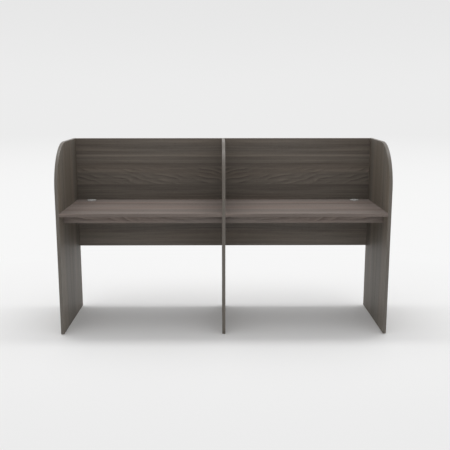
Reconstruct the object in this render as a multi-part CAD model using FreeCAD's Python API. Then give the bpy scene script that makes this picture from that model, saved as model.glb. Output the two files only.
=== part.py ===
import FreeCAD, Part
import os

from FreeCAD import Placement, Rotation, Vector

# Overall form, in millimetres: X across, Y towards the rear, Z up, origin on the floor at the middle
overall_width = 2000.0
overall_depth = 590.0
overall_height = 1165.0
corner_radius = 270.0
desk_height = 755.0
back_panel_bottom = 435.0
back_inset = 3.0
rail_height = 60.0
rail_setback = 120.0

# Boards, and the bands glued on their edges
upright_thickness = 19.0
desktop_thickness = 19.0
back_thickness = 19.0
rail_thickness = 19.0
band_thickness = 2.0
band_round = 1.5
round_share = 0.9

# Cam locks, the bolts that they draw in, and the caps that cover them
cam_diameter = 15.0
cam_setback = 34.0
cam_overreach = 4.5
cam_cavity_diameter = 9.2
cam_slot_lead = 25.0
cam_slot_sweep = 140.0
cam_head_gap = 0.1
cam_slot_gap = 0.3
cross_length = 8.0
cross_width = 1.6
cross_depth = 3.0
bolt_head_diameter = 6.0
bolt_neck_diameter = 3.4
bolt_shank_diameter = 5.4
bolt_collar_diameter = 7.0
bolt_collar_length = 3.0
bolt_thread_diameter = 5.0
bolt_thread_length = 11.0
bolt_bore_diameter = 8.0
cap_diameter = 17.0
cap_thickness = 1.5
cap_round = 0.6
plug_gap = 0.2
plug_end_gap = 0.5

# Dowels and drilling
dowel_diameter = 8.0
dowel_in_face = 12.0
dowel_in_end = 23.0
dowel_chamfer = 1.0
drill_clearance = 0.1
drill_end_gap = 1.0

# Where the fittings sit, measured from the nearest edge of the board that they hold
desktop_cam_from_front = 200.0
desktop_cam_from_back = 120.0
desktop_dowel_from_front = 60.0
rear_cam_from_end = 250.0
rear_dowel_from_cam = 64.0
back_cam_from_edge = 60.0
rail_cam_from_top = 17.0
rail_dowel_from_bottom = 12.0

# Cable grommets
grommet_from_panel = 100.0
grommet_from_back = 45.0
flange_diameter = 60.0
flange_thickness = 4.0
flange_round = 1.5
sleeve_diameter = 50.0
sleeve_wall = 2.0
sleeve_tail = 3.0
sleeve_clearance = 0.1
step_width = 4.0
step_depth = 2.0
insert_gap = 0.3
insert_wall = 1.5
insert_skirt = 8.0
nail_notch_radius = 3.0
floor_thickness = 1.5
shutter_thickness = 2.4
shutter_gap = 0.3
slot_width = 16.0
slot_start = 8.0
pivot_diameter = 6.0
pivot_clearance = 0.05
snap_lip = 0.8
snap_length = 2.0
snap_gap = 0.3
snap_slit = 1.0
grip_length = 9.0
grip_width = 2.4
grip_height = 1.2
grip_start = 9.0

# Levelling glides
glide_inset = 60.0
foot_diameter = 18.0
foot_height = 5.0
foot_chamfer = 1.0
stem_diameter = 6.0
stem_length = 24.0
stem_in_foot = 3.0
stem_chamfer = 0.8
stem_clearance = 0.05
socket_diameter = 10.0
socket_end_gap = 3.0

# Places that follow from the sizes above
x_axis = Vector(1, 0, 0)
y_axis = Vector(0, 1, 0)
z_axis = Vector(0, 0, 1)
front_y = -overall_depth / 2
rear_y = overall_depth / 2
upright_bottom = foot_height
back_rear_y = rear_y - back_inset
back_front_y = back_rear_y - back_thickness
back_middle_y = back_rear_y - back_thickness / 2
desk_underside = desk_height - desktop_thickness
desk_middle_z = desk_height - desktop_thickness / 2
rail_front_y = front_y + rail_setback
rail_rear_y = rail_front_y + rail_thickness
rail_middle_y = rail_front_y + rail_thickness / 2
rail_bottom = desk_underside - rail_height
panel_face_x = overall_width / 2 - upright_thickness
divider_face_x = upright_thickness / 2
bay_sides = {"left": -1, "right": 1}
same_place = 0.001
nodes = {}


def box_between(low, high):
    size = high - low
    return Part.makeBox(size.x, size.y, size.z, low)


def bar(length, width, height, base):
    # A block centred on its base point in X and Y
    return Part.makeBox(length, width, height, base - Vector(length / 2, width / 2, 0))


def turned(outline):
    # Revolves an outline of radius and height pairs about the Z axis
    corners = [Vector(radius, 0, height) for radius, height in outline]
    face = Part.Face(Part.makePolygon(corners + corners[:1]))
    return face.revolve(Vector(0, 0, 0), z_axis, 360)


def round_rim(shape, radius, height, amount):
    # Rounds the circular edge of one radius at one height
    rims = []
    for edge in shape.Edges:
        on_radius = isinstance(edge.Curve, Part.Circle) and abs(edge.Curve.Radius - radius) < same_place
        if on_radius and abs(edge.Curve.Center.z - height) < same_place:
            rims.append(edge)
    return shape.makeFillet(amount, rims)


def placed(shape, origin, along_x, along_z):
    # A copy of a shape with its own X and Z turned to the given directions
    copy = shape.copy()
    copy.Placement = Placement(origin, Rotation(along_x, along_z.cross(along_x), along_z, "ZXY"))
    return copy


def pointing(shape, origin, direction):
    # A copy of a turned shape with its axis along the given direction
    copy = shape.copy()
    copy.Placement = Placement(origin, Rotation(z_axis, direction))
    return copy


def halfway(values):
    # The places midway between neighbours
    return [(first + second) / 2 for first, second in zip(values, values[1:])]


# Fitting places: each is where a bolt or dowel crosses from an upright into the end of a board
desktop_cam_ys = [front_y + desktop_cam_from_front, back_front_y - desktop_cam_from_back]
desktop_dowel_ys = [front_y + desktop_dowel_from_front] + halfway(desktop_cam_ys)
back_cam_low = back_panel_bottom + back_cam_from_edge
back_cam_high = overall_height - back_cam_from_edge
back_cam_zs = [back_cam_low, (back_cam_low + back_cam_high) / 2, back_cam_high]
desktop_cam_spots = [(y, desk_middle_z) for y in desktop_cam_ys]
desktop_dowel_spots = [(y, desk_middle_z) for y in desktop_dowel_ys]
back_cam_spots = [(back_middle_y, z) for z in back_cam_zs]
back_dowel_spots = [(back_middle_y, z) for z in halfway(back_cam_zs)]
rail_cam_spots = [(rail_middle_y, desk_underside - rail_cam_from_top)]
rail_dowel_spots = [(rail_middle_y, rail_bottom + rail_dowel_from_bottom)]
bolt_spots = desktop_cam_spots + back_cam_spots + rail_cam_spots
dowel_spots = desktop_dowel_spots + back_dowel_spots + rail_dowel_spots


def rear_cam_xs(side):
    # Where a desktop is drawn against its back panel
    return [side * (panel_face_x - rear_cam_from_end), side * (divider_face_x + rear_cam_from_end)]


def rear_dowel_xs(side):
    outer, inner = rear_cam_xs(side)
    return [outer - side * rear_dowel_from_cam, inner + side * rear_dowel_from_cam]


def face_places(x, direction, spots):
    # Places on one face of an upright, each with the direction of its bolt, dowel or hole
    return [(Vector(x, y, z), direction) for y, z in spots]


def end_places(side, spots):
    # The same spots on both end faces of a bay's boards, pointing into the board
    outer = face_places(side * panel_face_x, x_axis * -side, spots)
    inner = face_places(side * divider_face_x, x_axis * side, spots)
    return outer + inner


def rear_places(xs, direction):
    # Places along the line where a desktop meets its back panel
    return [(Vector(x, back_front_y, desk_middle_z), direction) for x in xs]


# Cam locks, bolts and dowels

head_offset = cam_cavity_diameter / 2 - bolt_head_diameter / 2 - cam_head_gap
head_reach = cam_setback - head_offset
neck_reach = cam_setback - cam_diameter / 2 - drill_clearance


def cam_depth(thickness):
    return thickness / 2 + cam_overreach


def cam_lock(thickness):
    # Drawn with its open face at height 0 and the bolt coming in along X
    level = thickness / 2
    body = Part.makeCylinder(cam_diameter / 2, cam_depth(thickness))
    cavity_height = bolt_head_diameter + 2 * cam_slot_gap
    cavity_base = Vector(0, 0, level - cavity_height / 2)
    cavity = Part.makeCylinder(cam_cavity_diameter / 2, cavity_height, cavity_base)
    slot_height = bolt_neck_diameter + 2 * cam_slot_gap
    slot_base = Vector(0, 0, level - slot_height / 2)
    neck_slot = Part.makeCylinder(cam_diameter, slot_height, slot_base, z_axis, cam_slot_sweep)
    neck_slot.rotate(slot_base, z_axis, -cam_slot_lead)
    entry = Part.makeCylinder(cavity_height / 2, cam_diameter, Vector(0, 0, level), x_axis)
    entry.rotate(Vector(0, 0, level), z_axis, cam_slot_sweep - cam_slot_lead)
    cross = bar(cross_length, cross_width, cross_depth, Vector(0, 0, 0))
    cross = cross.fuse(bar(cross_width, cross_length, cross_depth, Vector(0, 0, 0)))
    return body.cut(cavity).cut(neck_slot).cut(entry).cut(cross)


def cam_cap():
    # A disc on the face of the board with a cross plug into the cam
    disc = Part.makeCylinder(cap_diameter / 2, cap_thickness, Vector(0, 0, -cap_thickness))
    rounding = min(cap_round, cap_thickness * round_share)
    disc = round_rim(disc, cap_diameter / 2, -cap_thickness, rounding)
    length = cross_length - 2 * plug_gap
    width = cross_width - 2 * plug_gap
    depth = cross_depth - plug_end_gap
    plug = bar(length, width, depth, Vector(0, 0, 0)).fuse(bar(width, length, depth, Vector(0, 0, 0)))
    return disc.fuse(plug).removeSplitter()


def connecting_bolt():
    # Threaded below height 0 into a face, drawn up into a cam above it
    shaft = turned([
        (0, -bolt_thread_length),
        (bolt_thread_diameter / 2, -bolt_thread_length),
        (bolt_thread_diameter / 2, 0),
        (bolt_collar_diameter / 2, 0),
        (bolt_collar_diameter / 2, bolt_collar_length),
        (bolt_shank_diameter / 2, bolt_collar_length),
        (bolt_shank_diameter / 2, neck_reach),
        (bolt_neck_diameter / 2, neck_reach),
        (bolt_neck_diameter / 2, head_reach),
        (0, head_reach),
    ])
    head = Part.makeSphere(bolt_head_diameter / 2, Vector(0, 0, head_reach))
    return shaft.fuse(head).removeSplitter()


def double_bolt():
    # Passes through the divider, with a head in a cam on each side
    middle = upright_thickness / 2
    upper = [
        (bolt_collar_diameter / 2, middle + bolt_collar_length),
        (bolt_shank_diameter / 2, middle + bolt_collar_length),
        (bolt_shank_diameter / 2, middle + neck_reach),
        (bolt_neck_diameter / 2, middle + neck_reach),
        (bolt_neck_diameter / 2, middle + head_reach),
        (0, middle + head_reach),
    ]
    lower = [(radius, -height) for radius, height in reversed(upper)]
    heads = []
    for level in (-middle - head_reach, middle + head_reach):
        heads.append(Part.makeSphere(bolt_head_diameter / 2, Vector(0, 0, level)))
    return turned(lower + upper).fuse(heads).removeSplitter()


def dowel(length):
    radius = dowel_diameter / 2
    return turned([
        (0, 0),
        (radius - dowel_chamfer, 0),
        (radius, dowel_chamfer),
        (radius, length - dowel_chamfer),
        (radius - dowel_chamfer, length),
        (0, length),
    ])


def at_cams(shape, places, inward, thickness):
    # A copy of a cam, cap or pocket at each place, with its open side at the face of the board
    copies = []
    for point, direction in places:
        open_face = point + direction * cam_setback - inward * (thickness / 2)
        copies.append(placed(shape, open_face, -direction, inward))
    return copies


def drilled(places, radius, depth):
    return [Part.makeCylinder(radius, depth, point, direction) for point, direction in places]


def cam_drilling(places, inward, thickness):
    # The pocket that each cam drops into, and the bore that its bolt comes through
    pocket = Part.makeCylinder(cam_diameter / 2 + drill_clearance, cam_depth(thickness))
    return at_cams(pocket, places, inward, thickness) + drilled(places, bolt_bore_diameter / 2, cam_setback)


thread_hole_radius = bolt_thread_diameter / 2 + drill_clearance
thread_hole_depth = bolt_thread_length + drill_end_gap
collar_hole_radius = bolt_collar_diameter / 2 + drill_clearance
dowel_hole_radius = dowel_diameter / 2 + drill_clearance
face_dowel_depth = dowel_in_face + drill_end_gap
end_dowel_depth = dowel_in_end + drill_end_gap


# Uprights: end panels and divider share one outline with a large rounded corner at the top front

def band_fillet(thickness):
    # The rounding on a band, held within the band and half of its width
    return min(band_round, band_thickness * round_share, thickness / 2 * round_share)


def upright_blank(x_low, inset):
    front = front_y + inset
    rear = rear_y - inset
    top = overall_height - inset
    bend = Vector(x_low, front_y + corner_radius, overall_height - corner_radius)
    curve = Part.makeCircle(corner_radius - inset, bend, x_axis, 90, 180)
    straights = Part.makePolygon([
        Vector(x_low, bend.y, top),
        Vector(x_low, rear, top),
        Vector(x_low, rear, upright_bottom),
        Vector(x_low, front, upright_bottom),
        Vector(x_low, front, bend.z),
    ])
    outline = Part.Wire(Part.__sortEdges__(straights.Edges + [curve]))
    return Part.Face(outline).extrude(x_axis * upright_thickness)


def upright_bands(x_low, core):
    # One strip follows the front, the curve and the top, the other closes the rear edge
    blank = upright_blank(x_low, 0)
    rims = []
    for edge in blank.Edges:
        if edge.BoundBox.XLength < same_place and edge.BoundBox.ZMax > upright_bottom + same_place:
            rims.append(edge)
    skin = blank.makeFillet(band_fillet(upright_thickness), rims).cut(core)
    rear_low = Vector(x_low, rear_y - band_thickness, upright_bottom)
    rear_high = Vector(x_low + upright_thickness, rear_y, overall_height - band_thickness)
    rear_zone = box_between(rear_low, rear_high)
    return skin.cut(rear_zone).Solids + skin.common(rear_zone).Solids


def socket_holes(x_middle):
    holes = []
    for y in glide_ys:
        base = Vector(x_middle, y, upright_bottom)
        holes.append(Part.makeCylinder(socket_diameter / 2 + drill_clearance, socket_length, base))
    return holes


glide_ys = [front_y + glide_inset, rear_y - glide_inset]
socket_length = stem_length + socket_end_gap

for name, side in bay_sides.items():
    face_x = side * panel_face_x
    x_low = min(face_x, face_x + side * upright_thickness)
    core = upright_blank(x_low, band_thickness)
    outward = x_axis * side
    cuts = socket_holes(x_low + upright_thickness / 2)
    cuts += drilled(face_places(face_x, outward, bolt_spots), thread_hole_radius, thread_hole_depth)
    cuts += drilled(face_places(face_x, outward, dowel_spots), dowel_hole_radius, face_dowel_depth)
    nodes[name + "_end_panel"] = [core.cut(cuts)]
    nodes[name + "_end_panel_edge_bands"] = upright_bands(x_low, core)

core = upright_blank(-divider_face_x, band_thickness)
cuts = socket_holes(0)
cuts += drilled(face_places(-divider_face_x, x_axis, bolt_spots), collar_hole_radius, upright_thickness)
cuts += drilled(face_places(-divider_face_x, x_axis, dowel_spots), dowel_hole_radius, upright_thickness)
nodes["centre_divider"] = [core.cut(cuts)]
nodes["centre_divider_edge_bands"] = upright_bands(-divider_face_x, core)


# Desktops, back panels and rails: straight boards with bands on the edges that show

def banded_board(low, high, direction, at_low, at_high):
    # Splits a board into its core and the rounded bands across the low or high end of one direction
    core_low = low + direction * (band_thickness * at_low)
    core_high = high - direction * (band_thickness * at_high)
    banded = [end.dot(direction) for end, wanted in ((low, at_low), (high, at_high)) if wanted]
    across = x_axis.cross(direction)
    thickness = abs((high - low).dot(across))
    blank = box_between(low, high)
    rims = []
    for edge in blank.Edges:
        level = edge.CenterOfMass.dot(direction)
        at_band = any(abs(level - place) < same_place for place in banded)
        if at_band and edge.BoundBox.XLength > same_place:
            rims.append(edge)
    core = box_between(core_low, core_high)
    bands = blank.makeFillet(band_fillet(thickness), rims).cut(core).Solids
    return core, bands


def grommet_centre(side):
    x = side * (panel_face_x - grommet_from_panel)
    return Vector(x, back_front_y - grommet_from_back, desk_height)


desktop_cam = cam_lock(desktop_thickness)
back_cam = cam_lock(back_thickness)
rail_cam = cam_lock(rail_thickness)
desktop_cams = []
back_cams = []
back_caps = []
rail_cams = []
grommet_hole_radius = sleeve_diameter / 2 + sleeve_clearance

for name, side in bay_sides.items():
    x_low, x_high = sorted((side * panel_face_x, side * divider_face_x))

    low = Vector(x_low, front_y, desk_underside)
    high = Vector(x_high, back_front_y, desk_height)
    core, bands = banded_board(low, high, y_axis, True, False)
    cam_places = end_places(side, desktop_cam_spots) + rear_places(rear_cam_xs(side), -y_axis)
    dowel_places = end_places(side, desktop_dowel_spots) + rear_places(rear_dowel_xs(side), -y_axis)
    cuts = cam_drilling(cam_places, z_axis, desktop_thickness)
    cuts += drilled(dowel_places, dowel_hole_radius, end_dowel_depth)
    cuts += drilled([(grommet_centre(side), -z_axis)], grommet_hole_radius, desktop_thickness)
    desktop_cams += at_cams(desktop_cam, cam_places, z_axis, desktop_thickness)
    nodes[name + "_desktop"] = [core.cut(cuts)]
    nodes[name + "_desktop_edge_band"] = bands

    low = Vector(x_low, back_front_y, back_panel_bottom)
    high = Vector(x_high, back_rear_y, overall_height)
    core, bands = banded_board(low, high, z_axis, True, True)
    cam_places = end_places(side, back_cam_spots)
    cuts = cam_drilling(cam_places, -y_axis, back_thickness)
    cuts += drilled(end_places(side, back_dowel_spots), dowel_hole_radius, end_dowel_depth)
    cuts += drilled(rear_places(rear_cam_xs(side), y_axis), thread_hole_radius, thread_hole_depth)
    cuts += drilled(rear_places(rear_dowel_xs(side), y_axis), dowel_hole_radius, face_dowel_depth)
    back_cams += at_cams(back_cam, cam_places, -y_axis, back_thickness)
    back_caps += at_cams(cam_cap(), cam_places, -y_axis, back_thickness)
    nodes[name + "_back_panel"] = [core.cut(cuts)]
    nodes[name + "_back_panel_edge_bands"] = bands

    low = Vector(x_low, rail_front_y, rail_bottom)
    high = Vector(x_high, rail_rear_y, desk_underside)
    core, bands = banded_board(low, high, z_axis, True, False)
    cam_places = end_places(side, rail_cam_spots)
    cuts = cam_drilling(cam_places, -y_axis, rail_thickness)
    cuts += drilled(end_places(side, rail_dowel_spots), dowel_hole_radius, end_dowel_depth)
    rail_cams += at_cams(rail_cam, cam_places, -y_axis, rail_thickness)
    nodes[name + "_front_rail"] = [core.cut(cuts)]
    nodes[name + "_front_rail_edge_band"] = bands

nodes["desktop_cam_locks"] = desktop_cams
nodes["back_panel_cam_locks"] = back_cams
nodes["back_panel_cam_caps"] = back_caps
nodes["front_rail_cam_locks"] = rail_cams


# Bolts and dowels between the boards

def bolts_at(places):
    return [pointing(connecting_bolt(), point, direction) for point, direction in places]


def dowels_at(places, depth, length):
    # Each dowel starts at its depth behind the face
    return [pointing(dowel(length), point - direction * depth, direction) for point, direction in places]


face_dowel_length = dowel_in_face + dowel_in_end
end_bolts = []
end_dowels = []
rear_bolts = []
rear_dowels = []
for side in bay_sides.values():
    face_x = side * panel_face_x
    inward = x_axis * -side
    end_bolts += bolts_at(face_places(face_x, inward, bolt_spots))
    end_dowels += dowels_at(face_places(face_x, inward, dowel_spots), dowel_in_face, face_dowel_length)
    rear_bolts += bolts_at(rear_places(rear_cam_xs(side), -y_axis))
    rear_dowels += dowels_at(rear_places(rear_dowel_xs(side), -y_axis), dowel_in_face, face_dowel_length)
nodes["end_panel_bolts"] = end_bolts
nodes["end_panel_dowels"] = end_dowels
nodes["back_panel_bolts"] = rear_bolts
nodes["back_panel_dowels"] = rear_dowels

through_length = upright_thickness + 2 * dowel_in_end
through_places = face_places(-divider_face_x, x_axis, dowel_spots)
nodes["divider_bolts"] = [pointing(double_bolt(), Vector(0, y, z), x_axis) for y, z in bolt_spots]
nodes["divider_dowels"] = dowels_at(through_places, dowel_in_end, through_length)


# Cable grommets: a sleeve in the desktop, an insert that lifts out and a shutter that turns in it

bore_radius = sleeve_diameter / 2 - sleeve_wall
step_radius = bore_radius + step_width
rim_radius = step_radius - insert_gap
skirt_radius = bore_radius - insert_gap
cup_radius = skirt_radius - insert_wall
shutter_radius = cup_radius - shutter_gap
pivot_radius = pivot_diameter / 2
grommet_top = flange_thickness
step_level = grommet_top - step_depth
floor_top = grommet_top - shutter_thickness
floor_bottom = floor_top - floor_thickness


def cable_slot(base, height):
    # A slot with a round inner end, open towards the rear
    end_y = slot_start + slot_width / 2
    round_end = Part.makeCylinder(slot_width / 2, height, Vector(0, end_y, base))
    low = Vector(-slot_width / 2, end_y, base)
    high = Vector(slot_width / 2, end_y + flange_diameter / 2, base + height)
    return round_end.fuse(box_between(low, high))


def grommet_sleeve():
    radius = sleeve_diameter / 2
    tail = -desktop_thickness - sleeve_tail
    sleeve = turned([
        (bore_radius, tail),
        (radius, tail),
        (radius, 0),
        (flange_diameter / 2, 0),
        (flange_diameter / 2, grommet_top),
        (step_radius, grommet_top),
        (step_radius, step_level),
        (bore_radius, step_level),
    ])
    rounding = min(flange_round, flange_thickness * round_share)
    return round_rim(sleeve, flange_diameter / 2, grommet_top, rounding)


def grommet_insert():
    # A cup with a skirt, a slotted floor and a notch in its rim to lift it by
    skirt_end = step_level - insert_skirt
    cup = turned([
        (0, floor_bottom),
        (cup_radius, floor_bottom),
        (cup_radius, skirt_end),
        (skirt_radius, skirt_end),
        (skirt_radius, step_level),
        (rim_radius, step_level),
        (rim_radius, grommet_top),
        (cup_radius, grommet_top),
        (cup_radius, floor_top),
        (0, floor_top),
    ])
    base = Vector(0, 0, floor_bottom)
    pivot_hole = Part.makeCylinder(pivot_radius + pivot_clearance, floor_thickness, base)
    inside = Part.makeCylinder(cup_radius, floor_thickness, base)
    slot = cable_slot(floor_bottom, floor_thickness).common(inside)
    notch = Part.makeCylinder(nail_notch_radius, step_depth, Vector(0, -rim_radius, step_level))
    return cup.cut([pivot_hole, slot, notch])


def grommet_shutter():
    # A disc with a slot, a finger grip on top and a split snap pin below
    disc = Part.makeCylinder(shutter_radius, shutter_thickness, Vector(0, 0, floor_top))
    disc = disc.cut(cable_slot(floor_top, shutter_thickness))
    snap_top = floor_bottom - snap_gap
    snap_end = snap_top - snap_length
    pin = turned([
        (0, snap_end),
        (pivot_radius - snap_lip, snap_end),
        (pivot_radius + snap_lip, snap_top),
        (pivot_radius, snap_top),
        (pivot_radius, floor_top),
        (0, floor_top),
    ])
    slit = bar(snap_slit, pivot_diameter + 2 * snap_lip, floor_bottom - snap_end, Vector(0, 0, snap_end))
    grip_base = Vector(0, -grip_start - grip_length / 2, grommet_top)
    grip = bar(grip_width, grip_length, grip_height, grip_base)
    top_edges = [edge for edge in grip.Edges if edge.BoundBox.ZMin > grommet_top + same_place]
    grip = grip.makeFillet(min(grip_width / 2, grip_height) * round_share, top_edges)
    return disc.fuse([pin.cut(slit), grip]).removeSplitter()


for name, side in bay_sides.items():
    centre = grommet_centre(side)
    nodes[name + "_grommet_sleeve"] = [pointing(grommet_sleeve(), centre, z_axis)]
    nodes[name + "_grommet_insert"] = [pointing(grommet_insert(), centre, z_axis)]
    nodes[name + "_grommet_shutter"] = [pointing(grommet_shutter(), centre, z_axis)]


# Levelling glides: a threaded socket in each upright, and a screw stem with a plastic foot

def glide_socket():
    bore = stem_diameter / 2 + stem_clearance
    radius = socket_diameter / 2
    return turned([(bore, 0), (radius, 0), (radius, socket_length), (bore, socket_length)])


def glide_foot():
    radius = foot_diameter / 2
    bore = stem_diameter / 2 + stem_clearance
    return turned([
        (0, 0),
        (radius - foot_chamfer, 0),
        (radius, foot_chamfer),
        (radius, foot_height - foot_chamfer),
        (radius - foot_chamfer, foot_height),
        (bore, foot_height),
        (bore, foot_height - stem_in_foot),
        (0, foot_height - stem_in_foot),
    ])


def glide_stem():
    radius = stem_diameter / 2
    top = foot_height + stem_length
    return turned([
        (0, foot_height - stem_in_foot),
        (radius, foot_height - stem_in_foot),
        (radius, top - stem_chamfer),
        (radius - stem_chamfer, top),
        (0, top),
    ])


end_middle_x = panel_face_x + upright_thickness / 2
upright_xs = {"left": -end_middle_x, "centre": 0, "right": end_middle_x}
sockets = []
for name, x in upright_xs.items():
    for end, y in zip(("front", "rear"), glide_ys):
        sockets.append(pointing(glide_socket(), Vector(x, y, upright_bottom), z_axis))
        nodes[end + "_" + name + "_glide_foot"] = [pointing(glide_foot(), Vector(x, y, 0), z_axis)]
        nodes[end + "_" + name + "_glide_stem"] = [pointing(glide_stem(), Vector(x, y, 0), z_axis)]
nodes["glide_sockets"] = sockets


os.makedirs("parts", exist_ok=True)
for node, shapes in nodes.items():
    shape = shapes[0] if len(shapes) == 1 else Part.makeCompound(shapes)
    shape.exportStep("parts/" + node + ".step")
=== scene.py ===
import math

import bmesh
import bpy
import numpy as np
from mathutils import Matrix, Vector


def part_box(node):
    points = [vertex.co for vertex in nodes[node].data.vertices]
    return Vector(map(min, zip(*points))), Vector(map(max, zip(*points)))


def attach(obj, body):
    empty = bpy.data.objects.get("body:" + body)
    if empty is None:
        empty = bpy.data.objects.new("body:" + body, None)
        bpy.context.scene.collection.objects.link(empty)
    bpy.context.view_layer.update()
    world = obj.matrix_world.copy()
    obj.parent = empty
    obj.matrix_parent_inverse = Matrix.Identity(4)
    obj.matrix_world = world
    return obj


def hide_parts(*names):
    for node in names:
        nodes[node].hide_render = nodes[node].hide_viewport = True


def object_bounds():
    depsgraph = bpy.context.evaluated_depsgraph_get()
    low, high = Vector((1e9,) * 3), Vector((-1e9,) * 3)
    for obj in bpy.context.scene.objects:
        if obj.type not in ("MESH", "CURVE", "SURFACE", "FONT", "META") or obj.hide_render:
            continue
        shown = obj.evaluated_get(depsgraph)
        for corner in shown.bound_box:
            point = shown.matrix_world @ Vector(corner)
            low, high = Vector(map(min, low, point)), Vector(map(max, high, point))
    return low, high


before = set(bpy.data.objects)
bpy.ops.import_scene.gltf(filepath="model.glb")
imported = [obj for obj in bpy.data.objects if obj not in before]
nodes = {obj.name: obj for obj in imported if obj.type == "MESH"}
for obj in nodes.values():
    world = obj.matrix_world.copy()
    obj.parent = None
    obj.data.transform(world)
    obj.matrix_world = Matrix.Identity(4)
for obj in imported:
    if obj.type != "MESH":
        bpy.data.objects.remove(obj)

cadLow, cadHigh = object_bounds()
scene = bpy.context.scene
bays = {"left": -1, "right": 1}
uprights = ("left_end_panel", "centre_divider", "right_end_panel")


# Surfaces from grids, in metres

def gridQuads(rows, columns, wrapRows, wrapColumns):
    # the quads between neighbours on a grid, round the seam too where it closes on itself
    i = np.arange(rows if wrapRows else rows - 1)[:, None]
    j = np.arange(columns if wrapColumns else columns - 1)[None, :]
    iNext = (i + 1) % rows
    jNext = (j + 1) % columns
    corners = [i * columns + j, iNext * columns + j, iNext * columns + jNext, i * columns + jNext]
    return np.stack(np.broadcast_arrays(*corners), axis=-1).reshape(-1, 4)


def gridShell(grid, uv=None, wrapRows=False, wrapColumns=True, capped=True):
    # one closed skin: the grid's quads, with the first and last rows filled where it is capped
    rows, columns = grid.shape[:2]
    faces = gridQuads(rows, columns, wrapRows, wrapColumns).tolist()
    if capped:
        faces.append(list(range(columns)))
        faces.append(list(range((rows - 1) * columns, rows * columns))[::-1])
    flatUv = np.zeros((rows * columns, 2)) if uv is None else uv.reshape(-1, 2)
    return {"points": grid.reshape(-1, 3), "faces": faces, "uv": flatUv}


def makePiece(name, shells, material, body, replaced, smoothAngle=35):
    # joins the skins in one mesh, turns every face outwards and puts the piece on its body
    starts = np.cumsum([0] + [len(shell["points"]) for shell in shells])
    points = np.concatenate([shell["points"] for shell in shells])
    uv = np.concatenate([shell["uv"] for shell in shells])
    faces = []
    for start, shell in zip(starts, shells):
        faces += [[start + corner for corner in face] for face in shell["faces"]]
    mesh = bpy.data.meshes.new(name)
    mesh.from_pydata(points, [], faces)
    cornerPoints = np.empty(len(mesh.loops), np.int32)
    mesh.loops.foreach_get("vertex_index", cornerPoints)
    layer = mesh.uv_layers.new(name="surface")
    layer.data.foreach_set("uv", uv[cornerPoints].astype(np.float32).ravel())
    work = bmesh.new()
    work.from_mesh(mesh)
    bmesh.ops.recalc_face_normals(work, faces=work.faces)
    work.to_mesh(mesh)
    work.free()
    mesh.polygons.foreach_set("use_smooth", np.ones(len(mesh.polygons), bool))
    mesh.set_sharp_from_angle(angle=math.radians(smoothAngle))
    mesh.materials.append(material)
    piece = bpy.data.objects.new(name, mesh)
    scene.collection.objects.link(piece)
    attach(piece, body)
    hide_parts(*replaced)


def easedOutline(corners, radii, steps=7, closed=True):
    # outline where each corner is a quadratic curve, from one radius before it to one after it
    corners = np.asarray(corners, float)
    radii = np.broadcast_to(radii, len(corners))[:, None]
    before = np.roll(corners, 1, axis=0) - corners
    after = np.roll(corners, -1, axis=0) - corners
    start = corners + before / np.linalg.norm(before, axis=1, keepdims=True) * radii
    end = corners + after / np.linalg.norm(after, axis=1, keepdims=True) * radii
    t = np.linspace(0, 1, steps)[None, :, None]
    start, middle, end = start[:, None], corners[:, None], end[:, None]
    curve = (1 - t) ** 2 * start + 2 * t * (1 - t) * middle + t ** 2 * end
    if closed:
        return curve.reshape(-1, 2)
    return np.concatenate([corners[:1], curve[1:-1].reshape(-1, 2), corners[-1:]])


def runningLength(points):
    # distance travelled along a row of points
    steps = np.linalg.norm(np.diff(points, axis=0), axis=1)
    return np.concatenate([[0.0], np.cumsum(steps)])


def carriedShell(path, side, out, profile):
    # point = path + side * profile width + out * profile height
    grid = path[:, None] + side * profile[None, :, :1] + out[:, None] * profile[None, :, 1:]
    # UV holds the lengths along the path and round the profile, the second from its middle
    u = runningLength(path)
    v = runningLength(profile)
    v = v - v[-1] / 2
    uv = np.stack(np.meshgrid(u, v, indexing="ij"), axis=-1)
    return gridShell(grid, uv)


def turnedShell(radius, height, angles, centre, axis="Z", closed=False):
    # point = centre + radius * (cos a, sin a) across the axis + height along it
    radius, height, a = np.broadcast_arrays(radius, height, angles)
    turn = {"Z": (0, 1, 2), "Y": (2, 0, 1)}[axis]
    grid = np.empty(radius.shape + (3,))
    grid[..., turn[0]] = radius * np.cos(a)
    grid[..., turn[1]] = radius * np.sin(a)
    grid[..., turn[2]] = height
    return gridShell(grid + np.asarray(centre), wrapRows=closed, capped=not closed)


def fullTurn(count):
    # angles once round, without the last one, which is the first again
    return np.linspace(0, 2 * np.pi, count, endpoint=False)[None, :]


def plateShell(outline, low, high, ease, centre, steps=6):
    # a plate on the outline: rings drawn in by ease * (1 - sin t) round each rim, both faces filled
    t = np.linspace(0, np.pi / 2, steps)
    inset = ease * (1 - np.sin(t))
    level = ease * (1 - np.cos(t))
    insets = np.concatenate([inset, inset[::-1]])
    tangent = np.roll(outline, -1, axis=0) - np.roll(outline, 1, axis=0)
    outward = np.stack([tangent[:, 1], -tangent[:, 0]], axis=1)
    outward = outward / np.linalg.norm(tangent, axis=1, keepdims=True)
    grid = np.empty((len(insets), len(outline), 3))
    grid[..., :2] = outline - insets[:, None, None] * outward
    grid[..., 2] = np.concatenate([low + level, high - level[::-1]])[:, None]
    return gridShell(grid + centre)


# Shader wiring

def feed(tree, socket, value):
    # a link where the value is a socket, and a plain setting otherwise
    if isinstance(value, bpy.types.NodeSocket):
        tree.links.new(value, socket)
    else:
        socket.default_value = value


def addNode(tree, kind, inputs=(), **settings):
    node = tree.nodes.new("ShaderNode" + kind)
    for name, value in settings.items():
        setattr(node, name, value)
    for key, value in dict(inputs).items():
        feed(tree, node.inputs[key], value)
    return node


def calc(tree, operation, *values):
    node = addNode(tree, "Math", operation=operation)
    for socket, value in zip(node.inputs, values):
        feed(tree, socket, value)
    return node.outputs[0]


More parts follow.
